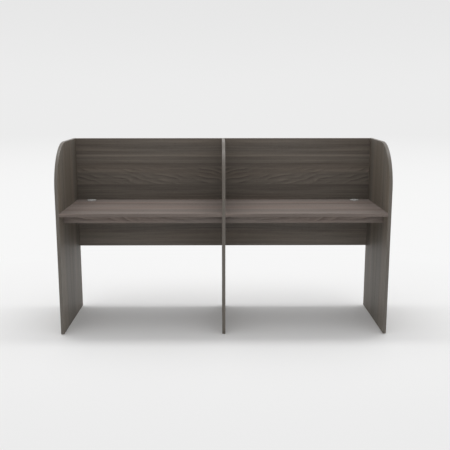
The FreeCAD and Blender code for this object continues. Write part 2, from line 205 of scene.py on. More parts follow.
def times(tree, value, factor):
    return calc(tree, "MULTIPLY", value, factor)


def minus(tree, first, second):
    return calc(tree, "SUBTRACT", first, second)


def plus(tree, *values):
    total = values[0]
    for value in values[1:]:
        total = calc(tree, "ADD", total, value)
    return total


def vector(tree, x, y, z):
    return addNode(tree, "CombineXYZ", {"X": x, "Y": y, "Z": z}).outputs[0]


def grey(tree, level):
    # one level on all three channels
    return vector(tree, level, level, level)


def parts(tree, value):
    return addNode(tree, "SeparateXYZ", {0: value}).outputs


def rise(tree, value, low, high):
    # smooth step from 0 at low to 1 at high
    inputs = {"Value": value, "From Min": low, "From Max": high}
    return addNode(tree, "MapRange", inputs, interpolation_type="SMOOTHSTEP").outputs[0]


def noise(tree, place, detail, roughness=0.5):
    # noise about zero, at one cycle to a unit of place
    inputs = {"Vector": place, "Scale": 1.0, "Detail": detail, "Roughness": roughness}
    value = addNode(tree, "TexNoise", inputs).outputs[0]
    return minus(tree, value, 0.5)


def evenNoise(tree, place, scale, detail):
    # noise of so many cycles to a metre, alike in all directions
    inputs = {0: place, 1: (scale,) * 3}
    scaled = addNode(tree, "VectorMath", inputs, operation="MULTIPLY").outputs[0]
    return noise(tree, scaled, detail)


def blendColor(tree, factor, first, second, mode="MIX"):
    # a Mix node takes its factor on socket 0 and two colours on 6 and 7, and gives a colour on 2
    inputs = {0: factor, 6: first, 7: second}
    return addNode(tree, "Mix", inputs, data_type="RGBA", blend_type=mode).outputs[2]


def blendValue(tree, share, first, second):
    # first where share is 0, second where it is 1
    return plus(tree, times(tree, first, minus(tree, 1.0, share)), times(tree, second, share))


def startGroup(name, inputs, outputs):
    group = bpy.data.node_groups.new(name, "ShaderNodeTree")
    for label, kind, value in inputs:
        socketType = "NodeSocket" + kind
        socket = group.interface.new_socket(label, in_out="INPUT", socket_type=socketType)
        socket.default_value = value
    for label, kind in outputs:
        group.interface.new_socket(label, in_out="OUTPUT", socket_type="NodeSocket" + kind)
    inlet = group.nodes.new("NodeGroupInput").outputs
    outlet = group.nodes.new("NodeGroupOutput").inputs
    return group, inlet, outlet


def placeGroup(tree, group, inputs):
    node = addNode(tree, "Group", node_tree=group)
    for label, value in inputs.items():
        feed(tree, node.inputs[label], value)
    return node.outputs


def startMaterial(name):
    material = bpy.data.materials.new(name)
    material.use_nodes = True
    tree = material.node_tree
    return material, tree, tree.nodes["Principled BSDF"]


def objectPlace(tree):
    return addNode(tree, "TexCoord").outputs["Object"]


def surfaceFrom(tree, shader, color, roughness, height, bump, depth):
    # the three outputs that every finish here has, on the shader's own sockets
    feed(tree, shader.inputs["Base Color"], color)
    feed(tree, shader.inputs["Roughness"], roughness)
    inputs = {"Strength": bump, "Distance": depth, "Height": height}
    feed(tree, shader.inputs["Normal"], addNode(tree, "Bump", inputs).outputs[0])


finishOutputs = [("Color", "Color"), ("Roughness", "Float"), ("Height", "Float")]


# Printed wood decor: Place runs along the grain, across it and into the board, in metres

woodLook = {
    # each noise: cycles to a metre along and across the grain, detail, roughness
    "slow": (1.1, 2.6, 1.0, 0.5),
    "ripple": (4.5, 11.0, 2.0, 0.5),
    "broad": (0.7, 24.0, 2.0, 0.5),
    "narrow": (1.9, 105.0, 3.0, 0.6),
    "fibre": (11.0, 640.0, 3.0, 0.6),
    "pore": (42.0, 1150.0, 1.0, 0.5),
    "stray": (2.3, 6.0, 2.0, 0.5),
    "broken": (6.0, 26.0, 2.0, 0.6),
    "patch": (0.8, 9.0, 1.0, 0.5),
    # the noise levels between which a pore, a stretch of figure or a warm patch sets in
    "poreEdge": (0.08, 0.20), "brokenEdge": (-0.12, 0.14), "patchEdge": (-0.12, 0.18),
    "wanderReach": 0.030,       # how far the lines drift sideways
    "rippleReach": 0.006,
    "ringPitch": 0.030,         # growth rings across the heart
    "tipPitch": 0.110,          # growth ring tips along the heart
    "uneven": 1.6,              # how far a ring strays from its place, in rings
    "ringDrop": 0.8,            # a ring darkens over this share of its width, then falls back
    "ringMean": 0.41,           # taken off, so that the figure doesn't darken the board
    "heartSoft": 0.008,         # the rings set in over this much on either side of the heart line
    "figureReach": 0.105,       # and show this far from it, on one side
    "figureFade": (0.85, 1.15),     # they fade out between these shares of that reach
    "broadTone": 0.85, "narrowTone": 0.80, "fibreTone": 0.50, "poreTone": -0.20,
    "bandDrift": 1.6,           # how far a stripe gains and loses strength along the board
    "roughness": 0.54, "poreRough": 0.12, "fibreRough": 0.10,
    "fibreHeight": 0.6, "poreHeight": -0.7,
}


def buildWoodGrain(look):
    group, inlet, outlet = startGroup("woodGrain", [
        ("Place", "Vector", (0, 0, 0)), ("Seed", "Float", 0), ("Heart", "Float", 0),
        ("Figure", "Float", 0), ("Streak", "Float", 1), ("Band", "Float", 0),
        ("Dark", "Color", (0, 0, 0, 1)), ("Light", "Color", (1, 1, 1, 1)),
        ("Warm", "Color", (1, 1, 1, 1)),
    ], finishOutputs)
    along, across, depth = parts(group, inlet["Place"])
    layer = plus(group, depth, inlet["Seed"])

    def grainNoise(kind, line):
        alongScale, lineScale, detail, roughness = look[kind]
        stretched = (times(group, along, alongScale), times(group, line, lineScale), layer)
        return noise(group, vector(group, *stretched), detail, roughness)

    slow = grainNoise("slow", across)
    ripple = grainNoise("ripple", across)
    line = plus(group, across, times(group, slow, look["wanderReach"]),
                times(group, ripple, look["rippleReach"]))
    broad = grainNoise("broad", line)
    narrow = grainNoise("narrow", line)
    fibre = grainNoise("fibre", line)
    pore = rise(group, grainNoise("pore", line), *look["poreEdge"])

    # height over the heart line and length along it count the rings; each darkens to a sharp edge
    offset = minus(group, line, inlet["Heart"])
    stray = grainNoise("stray", across)
    count = plus(group, times(group, offset, 1 / look["ringPitch"]),
                 times(group, along, -1 / look["tipPitch"]),
                 times(group, stray, 2 * look["uneven"]), times(group, ripple, look["uneven"]))
    part = calc(group, "FRACT", count)
    kept = minus(group, 1.0, rise(group, part, look["ringDrop"], 1.0))
    ring = minus(group, times(group, part, kept), look["ringMean"])
    fadeStart, fadeEnd = (look["figureReach"] * share for share in look["figureFade"])
    near = minus(group, rise(group, offset, -look["heartSoft"], look["heartSoft"]),
                 rise(group, offset, fadeStart, fadeEnd))
    broken = rise(group, grainNoise("broken", line), *look["brokenEdge"])
    shape = times(group, ring, times(group, near, broken))
    figure = times(group, shape, inlet["Figure"])

    # the tone between dark and light: the middle, what each part of the grain adds or takes, and
    # the Band of stripes, which on some boards is painted light and shade
    streaks = plus(group, times(group, broad, look["broadTone"]),
                   times(group, narrow, look["narrowTone"]))
    drift = plus(group, 1.0, times(group, slow, look["bandDrift"]))
    tone = plus(group, 0.5, times(group, streaks, inlet["Streak"]),
                times(group, fibre, look["fibreTone"]), times(group, pore, look["poreTone"]),
                times(group, figure, -1.0), times(group, inlet["Band"], drift))
    tone = calc(group, "MINIMUM", calc(group, "MAXIMUM", tone, 0.0), 1.0)
    color = blendColor(group, tone, inlet["Dark"], inlet["Light"])
    patch = rise(group, grainNoise("patch", line), *look["patchEdge"])
    feed(group, outlet["Color"], blendColor(group, patch, color, inlet["Warm"], "MULTIPLY"))
    feed(group, outlet["Roughness"], plus(group, look["roughness"],
                                          times(group, pore, look["poreRough"]),
                                          times(group, fibre, look["fibreRough"])))
    feed(group, outlet["Height"], plus(group, times(group, fibre, look["fibreHeight"]),
                                       times(group, pore, look["poreHeight"])))
    return group


woodGrain = buildWoodGrain(woodLook)


# Raw chipboard, seen where a board has no band or is drilled

chipLook = {
    "pale": (0.36, 0.25, 0.15, 1), "dark": (0.17, 0.105, 0.06, 1),
    "chip": 420.0, "chipHeight": -0.5,              # chips to a metre, and how far their edges dip
    "speck": 1500.0, "speckDetail": 2.0, "speckTone": 0.6, "speckRough": 0.15, "roughness": 0.85,
}


def buildChipboard(look):
    group, inlet, outlet = startGroup("chipboard", [("Place", "Vector", (0, 0, 0))], finishOutputs)
    inputs = {"Vector": inlet["Place"], "Scale": look["chip"], "Randomness": 1.0}
    cells = addNode(group, "TexVoronoi", inputs, feature="F1", distance="MANHATTAN").outputs
    shade = parts(group, cells["Color"])[0]
    speck = evenNoise(group, inlet["Place"], look["speck"], look["speckDetail"])
    tone = plus(group, shade, times(group, speck, look["speckTone"]))
    rough = plus(group, look["roughness"], times(group, speck, look["speckRough"]))
    height = plus(group, times(group, cells["Distance"], look["chipHeight"]), speck)
    feed(group, outlet["Color"], blendColor(group, tone, look["dark"], look["pale"]))
    feed(group, outlet["Roughness"], rough)
    feed(group, outlet["Height"], height)
    return group


chipboard = buildChipboard(chipLook)


# Moulded plastic with a spark-eroded skin, and cast or rolled metal

mouldedLook = {
    "fine": 2600.0, "fineDetail": 2.0, "fineShade": 0.22, "fineRough": 0.25,
    "coarse": 55.0, "coarseDetail": 3.0, "coarseShade": 0.30, "coarseRough": 0.20,
}
metalLook = {
    "fine": 900.0, "fineDetail": 3.0, "fineShade": 0.30, "fineRough": 0.0,
    "coarse": 120.0, "coarseDetail": 2.0, "coarseShade": 0.25, "coarseRough": 0.30,
}


def buildSkin(name, look):
    # tint * (1 + a fine and a coarse noise), roughness 1 - gloss + both, and the fine one as height
    group, inlet, outlet = startGroup(name, [
        ("Place", "Vector", (0, 0, 0)), ("Tint", "Color", (0.5, 0.5, 0.5, 1)),
        ("Gloss", "Float", 0.5),
    ], finishOutputs)
    fine = evenNoise(group, inlet["Place"], look["fine"], look["fineDetail"])
    coarse = evenNoise(group, inlet["Place"], look["coarse"], look["coarseDetail"])
    shade = plus(group, 1.0, times(group, fine, look["fineShade"]),
                 times(group, coarse, look["coarseShade"]))
    rough = plus(group, minus(group, 1.0, inlet["Gloss"]), times(group, fine, look["fineRough"]),
                 times(group, coarse, look["coarseRough"]))
    color = blendColor(group, 1.0, inlet["Tint"], grey(group, shade), "MULTIPLY")
    feed(group, outlet["Color"], color)
    feed(group, outlet["Roughness"], rough)
    feed(group, outlet["Height"], fine)
    return group


mouldedPlastic = buildSkin("mouldedPlastic", mouldedLook)
metalSkin = buildSkin("metalSkin", metalLook)
print("node groups:", ", ".join(group.name for group in bpy.data.node_groups))


# Board finishes; a stripe is its start and end across the board, its soft sides, and how much
# paler; some stripes are lines of the print, some painted light and shade

backBoardLook = {
    "along": "X", "across": "Z", "face": "Y",
    "seed": 3.7, "heart": 0.860, "figure": 0.55, "streak": 0.80,
    "dark": (0.060, 0.051, 0.043, 1), "light": (0.287, 0.252, 0.214, 1),
    "warm": (1.0, 0.96, 0.93, 1),
    # the first three stripes are partly painted light and shade: paler low on the part under the
    # desktop, a darker one above it, and darker just above the desktop where shade falls; the rest
    # are lines of the print
    "printAndPaintedLightStripes": [(0.440, 0.520, 0.010, 0.09), (0.540, 0.600, 0.010, -0.04),
                (0.770, 0.852, 0.006, -0.06), (0.862, 0.884, 0.008, 0.10),
                (0.984, 0.996, 0.010, -0.13), (1.013, 1.021, 0.006, 0.08),
                (1.030, 1.037, 0.005, -0.10), (1.047, 1.053, 0.004, 0.24),
                (1.064, 1.080, 0.005, -0.08)],
}
desktopLook = {
    "along": "X", "across": "Y", "face": "Z",
    "seed": 11.3, "heart": 0.50, "figure": 0.0, "streak": 0.65,
    "dark": (0.068, 0.057, 0.050, 1), "light": (0.307, 0.261, 0.237, 1),
    "warm": (1.0, 0.93, 0.90, 1),
    "printAndPaintedLightStripes": [(-0.258, -0.232, 0.014, 0.12), (-0.168, -0.128, 0.014, -0.08),
                (-0.108, -0.070, 0.016, 0.10), (0.050, 0.085, 0.016, -0.12),
                (0.132, 0.160, 0.014, 0.12), (0.215, 0.262, 0.010, -0.03)],
}
railLook = {
    "along": "X", "across": "Z", "face": "Y",
    "seed": 7.9, "heart": 0.690, "figure": 0.50, "streak": 0.70,
    "dark": (0.065, 0.053, 0.045, 1), "light": (0.303, 0.257, 0.229, 1),
    "warm": (1.0, 0.94, 0.91, 1),
    # the second stripe, paler along the top of the rail, is painted light that lifts the shade cast
    # there by the desktop above
    "printAndPaintedLightStripes": [(0.682, 0.690, 0.006, 0.12), (0.716, 0.735, 0.008, 0.08)],
}
uprightLook = {
    "along": "Z", "across": "Y", "face": "X",
    "seed": 19.1, "heart": 0.50, "figure": 0.0, "streak": 0.85,
    "dark": (0.056, 0.048, 0.040, 1), "light": (0.261, 0.234, 0.198, 1),
    "warm": (1.0, 0.95, 0.90, 1),
    # these stripes are mostly painted light and shade: paler near the front edge and darker further
    # back, where less light reaches the panel's face
    "printAndPaintedLightStripes": [(-0.310, -0.180, 0.060, 0.13), (-0.090, -0.040, 0.020, -0.06),
                (-0.010, 0.050, 0.020, -0.10), (0.110, 0.130, 0.015, 0.08),
                (0.180, 0.260, 0.030, -0.06)],
}
printLook = {"squareOn": (0.90, 0.95), "sheen": 0.33, "bump": 0.25, "depth": 0.0002}


def stripeTone(tree, across, printAndPaintedLightStripes):
    # every stripe rises over its first soft side, holds its tone and falls over the second
    total = 0.0
    for start, end, soft, tone in printAndPaintedLightStripes:
        inside = minus(tree, rise(tree, across, start - soft, start),
                       rise(tree, across, end, end + soft))
        total = plus(tree, total, times(tree, inside, tone))
    return total


def boardWood(name, look, surface):
    # decor, with its stripes of print and of painted light and shade, where a face looks squarely
    # along the board's own axis, and chipboard on the rest
    material, tree, shader = startMaterial(name)
    place = objectPlace(tree)
    x, y, z = parts(tree, place)
    axes = {"X": calc(tree, "ABSOLUTE", x), "Y": y, "Z": z}      # the two bays mirror each other
    wood = placeGroup(tree, woodGrain, {
        "Place": vector(tree, axes[look["along"]], axes[look["across"]], axes[look["face"]]),
        "Seed": look["seed"], "Heart": look["heart"], "Figure": look["figure"],
        "Streak": look["streak"], "Band": stripeTone(tree, axes[look["across"]], look["printAndPaintedLightStripes"]),
        "Dark": look["dark"], "Light": look["light"], "Warm": look["warm"],
    })
    raw = placeGroup(tree, chipboard, {"Place": place})
    normal = addNode(tree, "NewGeometry").outputs["True Normal"]
    facing = calc(tree, "ABSOLUTE", parts(tree, normal)["XYZ".index(look["face"])])
    printed = rise(tree, facing, *surface["squareOn"])
    color = blendColor(tree, printed, raw["Color"], wood["Color"])
    rough = blendValue(tree, printed, raw["Roughness"], wood["Roughness"])
    height = blendValue(tree, printed, raw["Height"], wood["Height"])
    shader.inputs["Specular IOR Level"].default_value = surface["sheen"]
    surfaceFrom(tree, shader, color, rough, height, surface["bump"], surface["depth"])
    return material


# Band finishes, a little smoother than the boards

uprightBandLook = {
    "seed": 31.0, "streak": 0.45, "warm": (1.0, 0.95, 0.91, 1),
    "dark": (0.059, 0.052, 0.045, 1), "light": (0.240, 0.218, 0.189, 1),
}
boardBandLook = {
    "seed": 43.0, "streak": 0.45, "warm": (1.0, 0.94, 0.90, 1),
    "dark": (0.072, 0.057, 0.049, 1), "light": (0.301, 0.242, 0.209, 1),
}
bandSurface = {
    # the paler rounded corners are partly scraped wear and partly a painted highlight
    "scrapeAndHighlight": 0.12, "scrapeAndHighlightReach": 0.6, "scrapeAndHighlightColor": (0.36, 0.34, 0.31, 1),
    "smoother": -0.12, "sheen": 0.45, "bump": 0.2, "depth": 0.0002,
}
strip = {
    "width": 0.019, "thickness": 0.002, "round": 0.0015, "glueEdge": 0.0002,
    "cornerRadius": 0.270, "cornerSteps": 61,
}


def bandWood(name, look, surface):
    # the decor follows the strip; its rounded corners are a little paler and duller, partly scraped
    # and partly a painted highlight
    material, tree, shader = startMaterial(name)
    u, v = parts(tree, addNode(tree, "UVMap", uv_map="surface").outputs[0])[:2]
    wood = placeGroup(tree, woodGrain, {
        "Place": vector(tree, u, v, 0.0), "Seed": look["seed"], "Streak": look["streak"],
        "Dark": look["dark"], "Light": look["light"], "Warm": look["warm"],
    })
    # painted highlight and scrape: paler towards the rounded corners
    start = strip["width"] / 2 - strip["round"]
    end = start + strip["round"] * surface["scrapeAndHighlightReach"]
    scrapeAndHighlight = times(tree, rise(tree, calc(tree, "ABSOLUTE", v), start, end), surface["scrapeAndHighlight"])
    color = blendColor(tree, scrapeAndHighlight, wood["Color"], surface["scrapeAndHighlightColor"])
    rough = plus(tree, wood["Roughness"], scrapeAndHighlight, surface["smoother"])
    shader.inputs["Specular IOR Level"].default_value = surface["sheen"]
    surfaceFrom(tree, shader, color, rough, wood["Height"], surface["bump"], surface["depth"])
    return material


# Finishes of the fittings

grommetLook = {"tint": (0.44, 0.44, 0.43, 1), "gloss": 0.52, "metallic": 0.0, "bump": 0.15}
capLook = {"tint": (0.116, 0.100, 0.086, 1), "gloss": 0.50, "metallic": 0.0, "bump": 0.15}
footLook = {"tint": (0.030, 0.030, 0.031, 1), "gloss": 0.45, "metallic": 0.0, "bump": 0.2}
castLook = {"tint": (0.55, 0.55, 0.56, 1), "gloss": 0.58, "metallic": 1.0, "bump": 0.2}
steelLook = {"tint": (0.62, 0.62, 0.60, 1), "gloss": 0.68, "metallic": 1.0, "bump": 0.05}
beechLook = {
    "seed": 5.0, "streak": 0.4, "dark": (0.36, 0.22, 0.12, 1), "light": (0.62, 0.43, 0.27, 1),
    "warm": (1.0, 0.95, 0.9, 1), "bump": 0.3, "depth": 0.0002,
}


def plainFinish(name, group, look, depth=0.0001):
    material, tree, shader = startMaterial(name)
    inputs = {"Place": objectPlace(tree), "Tint": look["tint"], "Gloss": look["gloss"]}
    skin = placeGroup(tree, group, inputs)
    shader.inputs["Metallic"].default_value = look["metallic"]
    surfaceFrom(tree, shader, skin["Color"], skin["Roughness"], skin["Height"], look["bump"], depth)
    return material


def dowelWood(name, look):
    material, tree, shader = startMaterial(name)
    wood = placeGroup(tree, woodGrain, {
        "Place": objectPlace(tree), "Seed": look["seed"], "Streak": look["streak"],
        "Dark": look["dark"], "Light": look["light"], "Warm": look["warm"],
    })
    surfaceFrom(tree, shader, wood["Color"], wood["Roughness"], wood["Height"], look["bump"],
                look["depth"])
    return material


backBoardWood = boardWood("backBoardWood", backBoardLook, printLook)
desktopWood = boardWood("desktopWood", desktopLook, printLook)
railWood = boardWood("railWood", railLook, printLook)
uprightWood = boardWood("uprightWood", uprightLook, printLook)
uprightBandWood = bandWood("uprightBandWood", uprightBandLook, bandSurface)
boardBandWood = bandWood("boardBandWood", boardBandLook, bandSurface)
grommetPlastic = plainFinish("grommetPlastic", mouldedPlastic, grommetLook)
capPlastic = plainFinish("capPlastic", mouldedPlastic, capLook)
footPlastic = plainFinish("footPlastic", mouldedPlastic, footLook)
castZinc = plainFinish("castZinc", metalSkin, castLook)
zincSteel = plainFinish("zincSteel", metalSkin, steelLook)
beech = dowelWood("beech", beechLook)

slotFinishes = {
    "long_board": backBoardWood, "upright_board": uprightWood, "edge_band": boardBandWood,
    "grommet_plastic": grommetPlastic, "cap_plastic": capPlastic, "foot_plastic": footPlastic,
    "cam_zinc": castZinc, "steel": zincSteel, "dowel_wood": beech,
}
boardFinishes = {"_desktop": desktopWood, "_front_rail": railWood}      # by the node's last words
for name, node in nodes.items():
    finish = slotFinishes[node.data.materials[0].name.split(".")[0]]
    for ending, boardFinish in boardFinishes.items():
        if name.endswith(ending):
            finish = boardFinish
    node.material_slots[0].material = finish
print("finishes:", len(slotFinishes) + len(boardFinishes), "on", len(nodes), "nodes")


# Edge bands: a strip with two rounded corners, carried round the outline of each board

axisX, axisY, axisZ = np.eye(3)
bandProfile = easedOutline(
    [(-strip["width"] / 2, -strip["thickness"]), (-strip["width"] / 2, 0),
     (strip["width"] / 2, 0), (strip["width"] / 2, -strip["thickness"])],
    [strip["glueEdge"], strip["round"], strip["round"], strip["glueEdge"]])


def uprightBands(node):
    # front strip: up the front edge, round a quarter circle and back along the top
    low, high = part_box(node)
    x = (low.x + high.x) / 2
    radius = strip["cornerRadius"]
    turn = np.linspace(0, np.pi / 2, strip["cornerSteps"])
    out = np.stack([0 * turn, -np.cos(turn), np.sin(turn)], axis=1)
    bend = np.array([x, low.y + radius, high.z - radius]) + out * radius
    path = np.concatenate([[(x, low.y, low.z)], bend, [(x, high.y, high.z)]])
    front = carriedShell(path, axisX, np.concatenate([out[:1], out, out[-1:]]), bandProfile)
    # rear strip: up the rear edge, to the underside of the first one's end
    path = np.array([(x, high.y, low.z), (x, high.y, high.z - strip["thickness"])])
    rear = carriedShell(path, axisX, np.stack([axisY, axisY]), bandProfile)
    return [front, rear]


def boardBand(node, side, out):
    # from one end of the node's box to the other, on the face of it that out points to
    low, high = np.array(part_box(node), float)
    middle = (low + high) / 2 + out * (high - low) / 2
    path = np.stack([middle, middle])
    path[:, 0] = low[0], high[0]
    return carriedShell(path, side, np.stack([out, out]), bandProfile)


for upright in uprights:
    node = upright + "_edge_bands"
    makePiece(upright + "_lipping", uprightBands(node),
              uprightBandWood, "desk", [node])

boardBands = {      # the node of each board's bands, the way across them and the ways they face
    "_desktop": ("_desktop_edge_band", axisZ, [-axisY]),
    "_back_panel": ("_back_panel_edge_bands", axisY, [axisZ, -axisZ]),
    "_front_rail": ("_front_rail_edge_band", axisY, [-axisZ]),
}
for bay in bays:
    for board, (bands, side, outs) in boardBands.items():
        node = bay + bands
        shells = [boardBand(node, side, out) for out in outs]
        makePiece(bay + board + "_lipping", shells,
                  boardBandWood, "desk", [node])
print("lippings:", len(uprights) + len(bays) * len(boardBands))


# Cable grommets: a sleeve, an insert that lifts out of it and a shutter that turns in the insert

# levels and heights count from the top of the desktop
sleeveSize = {
    "flange": 0.030, "flangeHeight": 0.004, "flangeRound": 0.0015, "tube": 0.025, "bore": 0.023,
    "step": 0.027, "stepLevel": 0.002, "ease": 0.0003, "around": 120,
}
insertSize = {
    "rim": 0.0267, "skirt": 0.0227, "skirtLength": 0.008, "cup": 0.0212, "floorTop": 0.0016,
    "floorThickness": 0.0015, "nailNotch": 0.003, "ease": 0.0003, "around": 288,
}
shutterSize = {
    "radius": 0.0209, "slotWidth": 0.016, "slotStart": 0.008, "ease": 0.0004,
    "gripWidth": 0.0024, "gripLength": 0.009, "gripHeight": 0.0012, "gripStart": 0.009,
    "gripRings": 12, "gripAround": 48, "gripPower": 0.6, "gripLast": 1.5,
    "pin": 0.003, "pinSteps": 25, "snapLip": 0.0008, "snapGap": 0.0003, "snapLength": 0.002,
    "snapEase": 0.000125, "slit": 0.001,
}


def slottedOutline(radius, width, start, arcSteps=181, endSteps=41):
    # the disc's arc from one side of the slot to the other, then round the slot's inner end
    half = width / 2
    opening = math.asin(half / radius)
    arc = np.linspace(np.pi / 2 + opening, 5 * np.pi / 2 - opening, arcSteps)
    end = np.linspace(0, -np.pi, endSteps)
    rim = radius * np.stack([np.cos(arc), np.sin(arc)], axis=1)
    slotEnd = half * np.stack([np.cos(end), np.sin(end)], axis=1) + (0, start + half)
    return np.concatenate([rim, slotEnd])


def sleeveShells(size, low, centre):
    # a tube with a flange round its top and a step for the insert
    tail = low.z - centre[2]
    top = size["flangeHeight"]
    step = size["stepLevel"]
    ease = size["ease"]
    profile = easedOutline(
        [(size["bore"], tail), (size["tube"], tail), (size["tube"], 0), (size["flange"], 0),
         (size["flange"], top), (size["step"], top), (size["step"], step), (size["bore"], step)],
        [ease, 2 * ease, ease / 3, ease, size["flangeRound"], ease, ease / 3, ease])
    around = fullTurn(size["around"])
    return [turnedShell(profile[:, :1], profile[:, 1:], around, centre, closed=True)]


def insertShells(size, sleeve, slot, centre):
    # rim and skirt turned in one, a nail notch drawn into the rim, and a slotted floor inside
    top = sleeve["flangeHeight"]
    seat = sleeve["stepLevel"]
    end = seat - size["skirtLength"]
    profile = easedOutline(
        [(size["cup"], end), (size["skirt"], end), (size["skirt"], seat), (size["rim"], seat),
         (size["rim"], top), (size["cup"], top)], size["ease"])
    a = fullTurn(size["around"])
    # near side of a circle about the rim's front point, where a ray from the axis meets it
    chord = size["nailNotch"] ** 2 - (size["rim"] * np.cos(a)) ** 2
    meets = (chord > 0) & (np.sin(a) < 0)
    near = -size["rim"] * np.sin(a) - np.sqrt(np.maximum(chord, 0))
    near = np.where(meets, near, size["rim"])
    onRim = profile[:, :1] > size["rim"] - 2 * size["ease"]
    radius = profile[:, :1] - onRim * (size["rim"] - near)
    ring = turnedShell(radius, profile[:, 1:], a, centre, closed=True)
    outline = slottedOutline(size["cup"], slot["slotWidth"], slot["slotStart"])
    floorLow = size["floorTop"] - size["floorThickness"]
    floor = plateShell(outline, floorLow, size["floorTop"], size["ease"], centre)
    return [ring, floor]


def shutterShells(size, sleeve, insert, centre):
    # a slotted disc, a finger grip on it and a split pin under it
    top = sleeve["flangeHeight"]
    outline = slottedOutline(size["radius"], size["slotWidth"], size["slotStart"])
    disc = plateShell(outline, insert["floorTop"], top, size["ease"], centre)

    # grip: stadium rings that close on their middle line as they rise, by powers of cos t and sin t
    t = np.linspace(0, size["gripLast"], size["gripRings"])[:, None]
    a = fullTurn(size["gripAround"])
    half = size["gripWidth"] / 2
    straight = size["gripLength"] / 2 - half
    ringRadius = half * np.cos(t) ** size["gripPower"]
    grip = np.empty((size["gripRings"], size["gripAround"], 3))
    grip[..., 0] = ringRadius * np.cos(a)
    grip[..., 1] = ringRadius * np.sin(a) + straight * np.where(np.sin(a) >= 0, 1, -1)
    grip[..., 1] -= size["gripStart"] + size["gripLength"] / 2
    grip[..., 2] = top + size["gripHeight"] * np.sin(t) ** size["gripPower"]

    # split pin: at each level the arc beyond the slit, closed by its chord
    snapTop = insert["floorTop"] - insert["floorThickness"] - size["snapGap"]
    snapEnd = snapTop - size["snapLength"]
    profile = easedOutline(
        [(size["pin"], insert["floorTop"]), (size["pin"], snapTop),
         (size["pin"] + size["snapLip"], snapTop), (size["pin"] - size["snapLip"], snapEnd)],
        size["snapEase"], closed=False)
    sweep = np.arccos(size["slit"] / 2 / profile[:, :1]) * np.linspace(-1, 1, size["pinSteps"])
    halves = []
    for side in (1, -1):
        across = side * profile[:, :1] * np.cos(sweep)
        along = profile[:, :1] * np.sin(sweep)
        level = np.broadcast_to(profile[:, 1:], sweep.shape)
        halves.append(gridShell(np.stack([across, along, level], axis=-1) + centre))
    return [disc, gridShell(grip + centre)] + halves


for bay in bays:
    sleeve = bay + "_grommet_sleeve"
    insert = bay + "_grommet_insert"
    shutter = bay + "_grommet_shutter"
    low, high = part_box(sleeve)
    deskLevel = high.z - sleeveSize["flangeHeight"]
    centre = np.array([(low.x + high.x) / 2, (low.y + high.y) / 2, deskLevel])
    makePiece(bay + "_cable_sleeve", sleeveShells(sleeveSize, low, centre),
              grommetPlastic, "desk", [sleeve])
    makePiece(bay + "_cable_insert", insertShells(insertSize, sleeveSize, shutterSize, centre),
              grommetPlastic, bay + "_insert", [insert])
    makePiece(bay + "_cable_shutter", shutterShells(shutterSize, sleeveSize, insertSize, centre),
              grommetPlastic, bay + "_shutter", [shutter])
print("grommets:", len(bays))


# Levelling glides: a screw with its thread, and a foot with finger scallops

screwSize = {"pitch": 0.001, "depth": 0.00045, "stepsPerTurn": 8, "chamfer": 0.0008, "around": 28}
footSize = {
    "rimRound": 0.0012, "bore": 0.00305, "boreDepth": 0.003, "boreRound": 0.0002, "pole": 0.02,
    "scallops": 18, "scallopDepth": 0.0004, "scallopSteps": 8, "wallPower": 12,
}


def screwShell(size, low, high):
    # radius falls from the crest by depth * triangle wave of height / pitch - angle / full turn
    radius = (high.x - low.x) / 2
    rows = round((high.z - low.z) / size["pitch"]) * size["stepsPerTurn"] + 1
    z = np.linspace(low.z, high.z, rows)[:, None]
    a = fullTurn(size["around"])
    turn = (z / size["pitch"] - a / (2 * np.pi)) % 1
    thread = radius - size["depth"] * np.abs(2 * turn - 1)
    cone = radius - size["chamfer"] + high.z - z
    centre = ((low.x + high.x) / 2, (low.y + high.y) / 2, 0)
    return turnedShell(np.minimum(thread, cone), z, a, centre)


def footShell(size, low, high):
    # a turned foot with a bore for the screw; cos(n a) scallops fade out towards both rims
    radius = (high.x - low.x) / 2
    height = high.z - low.z
    seat = height - size["boreDepth"]
    pole = radius * size["pole"]        # the small ring that closes each face round the axis
    profile = easedOutline(
        [(pole, 0), (radius, 0), (radius, height), (size["bore"], height), (size["bore"], seat),
         (pole, seat)],
        [0, size["rimRound"], size["rimRound"], size["boreRound"], size["boreRound"], 0],
        closed=False)
    a = fullTurn(size["scallops"] * size["scallopSteps"])
    r = profile[:, :1]
    z = profile[:, 1:]
    onWall = (r / radius) ** size["wallPower"] * np.sin(np.pi * z / height) ** 2
    cut = size["scallopDepth"] * onWall * (1 + np.cos(size["scallops"] * a)) / 2
    centre = ((low.x + high.x) / 2, (low.y + high.y) / 2, 0)
    return turnedShell(r - cut, low.z + z, a, centre)


glides = [end + "_" + place for end in ("front", "rear") for place in ("left", "centre", "right")]
for glide in glides:
    stem = glide + "_glide_stem"
    foot = glide + "_glide_foot"
    makePiece(glide + "_screw", [screwShell(screwSize, *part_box(stem))],
              zincSteel, glide + "_glide", [stem])
    makePiece(glide + "_foot", [footShell(footSize, *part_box(foot))],
              footPlastic, glide + "_glide", [foot])
print("glides:", len(glides))


# Caps over the back panels' cam locks, in three rows on the rear face

capSize = {
    "diameter": 0.017, "plugDiameter": 0.0146, "setback": 0.034, "around": 72,
    "squareness": 5.0, "rimSteps": 24, "rimLast": 1.53,
    "pryNotch": 0.0005, "notchWidth": 0.10, "notchReach": 0.9,
}


